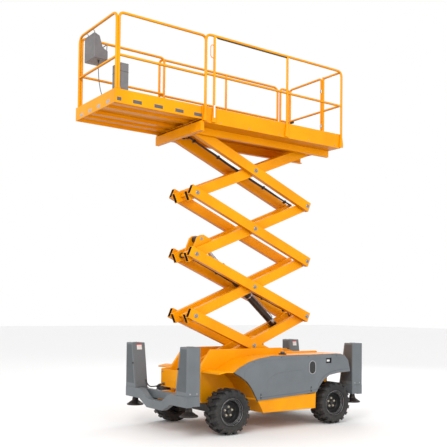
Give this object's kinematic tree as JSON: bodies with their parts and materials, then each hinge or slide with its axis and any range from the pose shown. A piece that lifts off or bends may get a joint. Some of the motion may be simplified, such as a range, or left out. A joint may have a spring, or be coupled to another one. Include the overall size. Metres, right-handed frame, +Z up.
{
  "type": "scissor lift",
  "caption": "Rough-terrain scissor lift: railed platform with a sliding extension deck on a hydraulic scissor stack, over a wheeled chassis with stabilisers.",
  "frame": {"origin": "on the ground, below the middle of the whole length and width with the extension deck out", "axes": "+X towards the front, where the extension deck slides out; +Y towards the left side; +Z up"},
  "size_m": [4.471, 1.8, 5.7988],
  "materials": {
    "yellow_paint": "gloss yellow-orange paint, dulled on top edges",
    "grey_paint": "satin blue-grey paint",
    "dark_steel": "dark satin paint with grease",
    "tyre": "matte rubber",
    "rim_paint": "dark satin paint",
    "chrome": "polished hard chrome",
    "box_metal": "light grey paint",
    "cable": "matte black sheath"
  },
  "bodies": {
    "chassis": {"chassis_frame": "yellow_paint", "front_axle": "dark_steel", "rear_axle": "dark_steel", "side_box_left": "yellow_paint", "side_box_right": "yellow_paint", "engine_block": "dark_steel", "front_bumper": "grey_paint", "rear_bumper": "grey_paint", "tower_front_left": "grey_paint", "tower_front_right": "grey_paint", "tower_rear_left": "grey_paint", "tower_rear_right": "grey_paint", "jack_front_left": "dark_steel", "jack_front_right": "dark_steel", "jack_rear_left": "dark_steel", "jack_rear_right": "dark_steel"},
    "door_left": {"door_left": "grey_paint"},
    "door_right": {"door_right": "grey_paint"},
    "knuckle_left": {"knuckle_left": "dark_steel"},
    "knuckle_right": {"knuckle_right": "dark_steel"},
    "wheel_front_left": {"tyre_front_left": "tyre", "rim_front_left": "rim_paint"},
    "wheel_front_right": {"tyre_front_right": "tyre", "rim_front_right": "rim_paint"},
    "wheel_rear_left": {"tyre_rear_left": "tyre", "rim_rear_left": "rim_paint"},
    "wheel_rear_right": {"tyre_rear_right": "tyre", "rim_rear_right": "rim_paint"},
    "inner_frame_1": {"inner_frame_1": "yellow_paint"},
    "outer_frame_1": {"outer_frame_1": "yellow_paint"},
    "inner_frame_2": {"inner_frame_2": "yellow_paint"},
    "outer_frame_2": {"outer_frame_2": "yellow_paint"},
    "inner_frame_3": {"inner_frame_3": "yellow_paint"},
    "outer_frame_3": {"outer_frame_3": "yellow_paint"},
    "inner_frame_4": {"inner_frame_4": "yellow_paint"},
    "outer_frame_4": {"outer_frame_4": "yellow_paint"},
    "cylinder_barrel": {"cylinder_barrel": "dark_steel"},
    "cylinder_rod": {"cylinder_rod": "chrome"},
    "platform": {"main_deck": "yellow_paint", "main_rail_left": "yellow_paint", "main_rail_right": "yellow_paint", "rear_rail_left": "yellow_paint", "rear_rail_right": "yellow_paint"},
    "rear_gate": {"rear_gate": "yellow_paint"},
    "extension": {"extension_deck": "yellow_paint", "extension_rail": "yellow_paint", "control_box": "box_metal", "manual_box": "box_metal", "control_cable": "cable"}
  },
  "joints": [
    {"name": "scissor_lift", "type": "hinge", "parent": "chassis", "child": "inner_frame_1", "pos_m": [0.6845, 0, 0.781], "axis": [0, 1, 0], "range_deg": [-18.5, 30.9]},
    {"name": "stage_1_centre", "type": "hinge", "parent": "inner_frame_1", "child": "outer_frame_1", "pos_m": [-0.41526, 0, 1.23946], "axis": [0, 1, 0], "range_deg": [-61.81, 37.01]},
    {"name": "knuckle_1", "type": "hinge", "parent": "outer_frame_1", "child": "inner_frame_2", "pos_m": [0.6845, 0, 1.69793], "axis": [0, 1, 0], "range_deg": [-37.01, 61.81]},
    {"name": "stage_2_centre", "type": "hinge", "parent": "inner_frame_2", "child": "outer_frame_2", "pos_m": [-0.41526, 0, 2.15639], "axis": [0, 1, 0], "range_deg": [-61.81, 37.01]},
    {"name": "knuckle_2", "type": "hinge", "parent": "outer_frame_2", "child": "inner_frame_3", "pos_m": [0.6845, 0, 2.61485], "axis": [0, 1, 0], "range_deg": [-37.01, 61.81]},
    {"name": "stage_3_centre", "type": "hinge", "parent": "inner_frame_3", "child": "outer_frame_3", "pos_m": [-0.41526, 0, 3.07332], "axis": [0, 1, 0], "range_deg": [-61.81, 37.01]},
    {"name": "knuckle_3", "type": "hinge", "parent": "outer_frame_3", "child": "inner_frame_4", "pos_m": [0.6845, 0, 3.53178], "axis": [0, 1, 0], "range_deg": [-37.01, 61.81]},
    {"name": "stage_4_centre", "type": "hinge", "parent": "inner_frame_4", "child": "outer_frame_4", "pos_m": [-0.41526, 0, 3.99025], "axis": [0, 1, 0], "range_deg": [-61.81, 37.01]},
    {"name": "platform_pivot", "type": "hinge", "parent": "outer_frame_4", "child": "platform", "pos_m": [0.6845, 0, 4.44871], "axis": [0, 1, 0], "range_deg": [-18.51, 30.91]},
    {"name": "cylinder_swing", "type": "hinge", "parent": "inner_frame_1", "child": "cylinder_barrel", "pos_m": [-1.09506, 0, 1.52285], "axis": [0, 1, 0], "range_deg": [-64.9, 38.86]},
    {"name": "cylinder_extend", "type": "slide", "parent": "cylinder_barrel", "child": "cylinder_rod", "axis": [0.7609, 0, 0.6489], "range_m": [-0.4111, 0.6859]},
    {"name": "steer_left", "type": "hinge", "parent": "chassis", "child": "knuckle_left", "pos_m": [0.4245, 0.555, 0.33], "axis": [0, 0, 1], "range_deg": [-25, 25]},
    {"name": "steer_right", "type": "hinge", "parent": "chassis", "child": "knuckle_right", "pos_m": [0.4245, -0.555, 0.33], "axis": [0, 0, 1], "range_deg": [-25, 25]},
    {"name": "wheel_spin_front_left", "type": "hinge", "parent": "knuckle_left", "child": "wheel_front_left", "pos_m": [0.4245, 0.75, 0.33], "axis": [0, 1, 0], "continuous": true},
    {"name": "wheel_spin_rear_left", "type": "hinge", "parent": "chassis", "child": "wheel_rear_left", "pos_m": [-1.6155, 0.75, 0.33], "axis": [0, 1, 0], "continuous": true},
    {"name": "door_hinge_left", "type": "hinge", "parent": "chassis", "child": "door_left", "pos_m": [-0.5955, 0.852, 1.104], "axis": [1, 0, 0], "range_deg": [0, 85]},
    {"name": "wheel_spin_front_right", "type": "hinge", "parent": "knuckle_right", "child": "wheel_front_right", "pos_m": [0.4245, -0.75, 0.33], "axis": [0, 1, 0], "continuous": true},
    {"name": "wheel_spin_rear_right", "type": "hinge", "parent": "chassis", "child": "wheel_rear_right", "pos_m": [-1.6155, -0.75, 0.33], "axis": [0, 1, 0], "continuous": true},
    {"name": "door_hinge_right", "type": "hinge", "parent": "chassis", "child": "door_right", "pos_m": [-0.5955, -0.852, 1.104], "axis": [-1, 0, 0], "range_deg": [0, 85]},
    {"name": "extension_slide", "type": "slide", "parent": "platform", "child": "extension", "axis": [1, 0, 0], "range_m": [-1.3, 0]},
    {"name": "rear_gate_hinge", "type": "hinge", "parent": "platform", "child": "rear_gate", "pos_m": [-1.8905, 0.215, 5.2], "axis": [0, 0, 1], "range_deg": [0, 90]}
  ],
  "couplings": [
    {"joint": "stage_1_centre", "follows": "scissor_lift", "ratio": -2},
    {"joint": "knuckle_1", "follows": "scissor_lift", "ratio": 2},
    {"joint": "stage_2_centre", "follows": "scissor_lift", "ratio": -2},
    {"joint": "knuckle_2", "follows": "scissor_lift", "ratio": 2},
    {"joint": "stage_3_centre", "follows": "scissor_lift", "ratio": -2},
    {"joint": "knuckle_3", "follows": "scissor_lift", "ratio": 2},
    {"joint": "stage_4_centre", "follows": "scissor_lift", "ratio": -2},
    {"joint": "platform_pivot", "follows": "scissor_lift", "ratio": 1},
    {"joint": "cylinder_swing", "follows": "scissor_lift", "ratio": -2.1},
    {"joint": "cylinder_extend", "follows": "scissor_lift", "m_per_rad": 1.27},
    {"joint": "steer_right", "follows": "steer_left", "ratio": 1}
  ]
}
